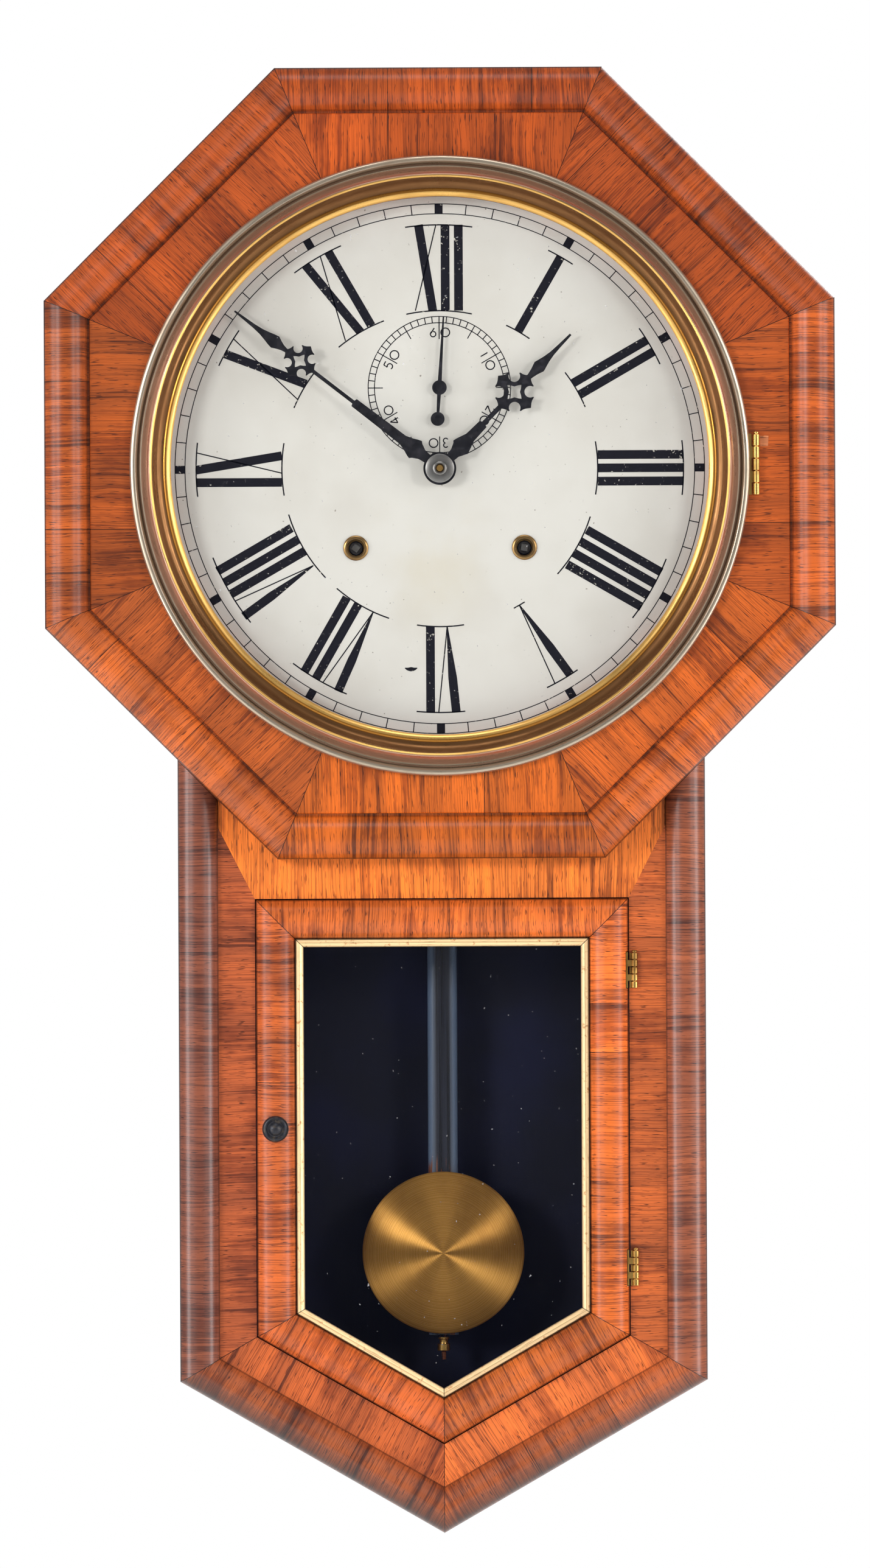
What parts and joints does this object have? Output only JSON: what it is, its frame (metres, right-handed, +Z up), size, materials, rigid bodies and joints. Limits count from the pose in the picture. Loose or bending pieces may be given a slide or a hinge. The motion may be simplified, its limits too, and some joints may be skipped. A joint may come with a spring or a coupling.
{
  "type": "pendulum wall clock",
  "caption": "Wall clock with an octagon head, a round white dial behind a hinged glazed bezel, and a long pointed drop whose glazed door shows a brass pendulum",
  "frame": {"origin": "on the wall plane, behind the middle of the octagon head", "axes": "+Z up, the dial faces -Y, +Y into the wall"},
  "size_m": [0.44, 0.122, 0.8157],
  "materials": {
    "rosewood": "gloss varnish over cross-banded rosewood veneer",
    "dark_rosewood": "gloss varnish over darker rosewood veneer",
    "case_wood": "plain softwood",
    "backboard_paint": "blue-black paint, dusty",
    "gilt": "rubbed gilding",
    "black_lacquer": "black lacquer over wood",
    "bezel_brass": "old lacquered brass, browned in its hollows",
    "brass": "polished brass",
    "steel": "bright and slightly tarnished",
    "blued_iron": "black, half matt",
    "dial_paint": "off-white paint on a sheet metal disc, printed in black",
    "glass": "clear, a little dusty"
  },
  "bodies": {
    "case": {"backboard": "backboard_paint", "case_side_left": "case_wood", "case_side_right": "case_wood", "case_bottom_left": "case_wood", "case_bottom_right": "case_wood", "case_top": "case_wood", "drop_stile_left": "dark_rosewood", "drop_stile_right": "dark_rosewood", "drop_rail_left": "dark_rosewood", "drop_rail_right": "dark_rosewood", "drop_panel": "rosewood", "head_frame": "rosewood", "case_hinge_leaf_lower": "brass", "case_hinge_leaf_upper": "brass", "case_bezel_leaf": "brass", "dial": "dial_paint", "winding_grommet_left": "brass", "winding_grommet_right": "brass", "movement_back_plate": "brass", "movement_front_plate": "brass", "movement_seat": "case_wood", "time_mainspring": "steel", "strike_mainspring": "steel", "suspension_cock": "brass", "gong": "steel", "gong_base": "blued_iron"},
    "door": {"door_frame": "rosewood", "gilt_slip": "gilt", "door_glass": "glass", "door_hinge_leaf_lower": "brass", "door_hinge_leaf_upper": "brass"},
    "door_latch": {"door_knob": "black_lacquer"},
    "bezel_door": {"bezel": "bezel_brass", "bezel_glass": "glass", "bezel_hinge_leaf": "brass"},
    "centre_arbor": {"centre_wheel": "brass", "cannon_pinion": "steel", "minute_hand": "blued_iron", "hand_washer": "steel", "hand_nut": "steel"},
    "hour_pipe": {"hour_wheel": "brass", "hour_hand": "blued_iron"},
    "minute_wheel_arbor": {"minute_wheel": "brass"},
    "time_great_arbor": {"time_great_wheel": "brass"},
    "time_winding": {"time_winding_arbor": "steel"},
    "second_arbor": {"second_wheel": "brass"},
    "third_arbor": {"third_wheel": "brass"},
    "escape_arbor": {"escape_wheel": "brass", "seconds_hand": "blued_iron"},
    "verge_arbor": {"verge": "steel"},
    "pendulum": {"suspension_spring": "steel", "pendulum_rod": "black_lacquer", "pendulum_bob": "brass"},
    "pendulum_nut": {"rating_nut": "brass"},
    "strike_great_arbor": {"strike_great_wheel": "brass"},
    "strike_winding": {"strike_winding_arbor": "steel"},
    "strike_second_arbor": {"strike_second_wheel": "brass"},
    "pin_wheel_arbor": {"strike_pin_wheel": "brass"},
    "fly_arbor": {"strike_fly": "brass"},
    "hammer_arbor": {"hammer": "steel"}
  },
  "joints": [
    {"name": "door_swing", "type": "hinge", "parent": "case", "child": "door", "pos_m": [0.1072, -0.0952, -0.3655], "axis": [0, 0, 1], "range_deg": [0, 110]},
    {"name": "latch_turn", "type": "hinge", "parent": "door", "child": "door_latch", "pos_m": [-0.0932, -0.1, -0.37], "axis": [0, 1, 0], "range_deg": [-90, 0]},
    {"name": "bezel_swing", "type": "hinge", "parent": "case", "child": "bezel_door", "pos_m": [0.176, -0.1105, -0.0015], "axis": [0, 0, 1], "range_deg": [0, 110]},
    {"name": "minute_turn", "type": "hinge", "parent": "case", "child": "centre_arbor", "pos_m": [0, -0.065, -0.0029], "axis": [0, 1, 0], "continuous": true},
    {"name": "hour_turn", "type": "hinge", "parent": "case", "child": "hour_pipe", "pos_m": [0, -0.065, -0.0029], "axis": [0, 1, 0], "continuous": true},
    {"name": "minute_wheel_turn", "type": "hinge", "parent": "case", "child": "minute_wheel_arbor", "pos_m": [-0.01536, -0.065, 0.00862], "axis": [0, 1, 0], "continuous": true},
    {"name": "third_wheel_turn", "type": "hinge", "parent": "case", "child": "third_arbor", "pos_m": [0.00962, -0.065, 0.02233], "axis": [0, 1, 0], "continuous": true},
    {"name": "seconds_turn", "type": "hinge", "parent": "case", "child": "escape_arbor", "pos_m": [0, -0.065, 0.0441], "axis": [0, 1, 0], "continuous": true},
    {"name": "second_wheel_turn", "type": "hinge", "parent": "case", "child": "second_arbor", "pos_m": [0.02594, -0.065, -0.01551], "axis": [0, 1, 0], "continuous": true},
    {"name": "time_great_wheel_turn", "type": "hinge", "parent": "case", "child": "time_great_arbor", "pos_m": [0.047, -0.065, -0.0469], "axis": [0, 1, 0], "continuous": true},
    {"name": "time_winding_turn", "type": "hinge", "parent": "time_great_arbor", "child": "time_winding", "pos_m": [0.047, -0.065, -0.0469], "axis": [0, 1, 0], "continuous": true},
    {"name": "pendulum_swing", "type": "hinge", "parent": "case", "child": "pendulum", "pos_m": [0, -0.032, 0.0701], "axis": [0, 1, 0], "range_deg": [-3.5, 3.5]},
    {"name": "verge_rock", "type": "hinge", "parent": "case", "child": "verge_arbor", "pos_m": [0, -0.05, 0.0701], "axis": [0, 1, 0], "range_deg": [-3.5, 3.5]},
    {"name": "rating_nut_turn", "type": "hinge", "parent": "pendulum", "child": "pendulum_nut", "pos_m": [0, -0.032, -0.495], "axis": [0, 0, 1], "continuous": true},
    {"name": "strike_run", "type": "hinge", "parent": "case", "child": "pin_wheel_arbor", "pos_m": [-0.04036, -0.065, 0.00946], "axis": [0, 1, 0], "continuous": true},
    {"name": "strike_second_turn", "type": "hinge", "parent": "case", "child": "strike_second_arbor", "pos_m": [-0.02594, -0.065, -0.01551], "axis": [0, 1, 0], "continuous": true},
    {"name": "strike_great_turn", "type": "hinge", "parent": "case", "child": "strike_great_arbor", "pos_m": [-0.047, -0.065, -0.0469], "axis": [0, 1, 0], "continuous": true},
    {"name": "strike_winding_turn", "type": "hinge", "parent": "strike_great_arbor", "child": "strike_winding", "pos_m": [-0.047, -0.065, -0.0469], "axis": [0, 1, 0], "continuous": true},
    {"name": "fly_turn", "type": "hinge", "parent": "case", "child": "fly_arbor", "pos_m": [-0.0314, -0.065, 0.02999], "axis": [0, 1, 0], "continuous": true},
    {"name": "hammer_lift", "type": "hinge", "parent": "case", "child": "hammer_arbor", "pos_m": [-0.054, -0.05, 0.0271], "axis": [0, 1, 0], "range_deg": [0, 5]}
  ],
  "couplings": [
    {"joint": "hour_turn", "follows": "minute_turn", "ratio": 0.083333},
    {"joint": "minute_wheel_turn", "follows": "minute_turn", "ratio": -0.33333},
    {"joint": "third_wheel_turn", "follows": "minute_turn", "ratio": -8},
    {"joint": "seconds_turn", "follows": "minute_turn", "ratio": 60},
    {"joint": "second_wheel_turn", "follows": "minute_turn", "ratio": -0.16667},
    {"joint": "time_great_wheel_turn", "follows": "minute_turn", "ratio": 0.027778},
    {"joint": "verge_rock", "follows": "pendulum_swing", "ratio": 1},
    {"joint": "strike_second_turn", "follows": "strike_run", "ratio": -0.16667},
    {"joint": "strike_great_turn", "follows": "strike_run", "ratio": 0.027778},
    {"joint": "fly_turn", "follows": "strike_run", "ratio": -6}
  ]
}
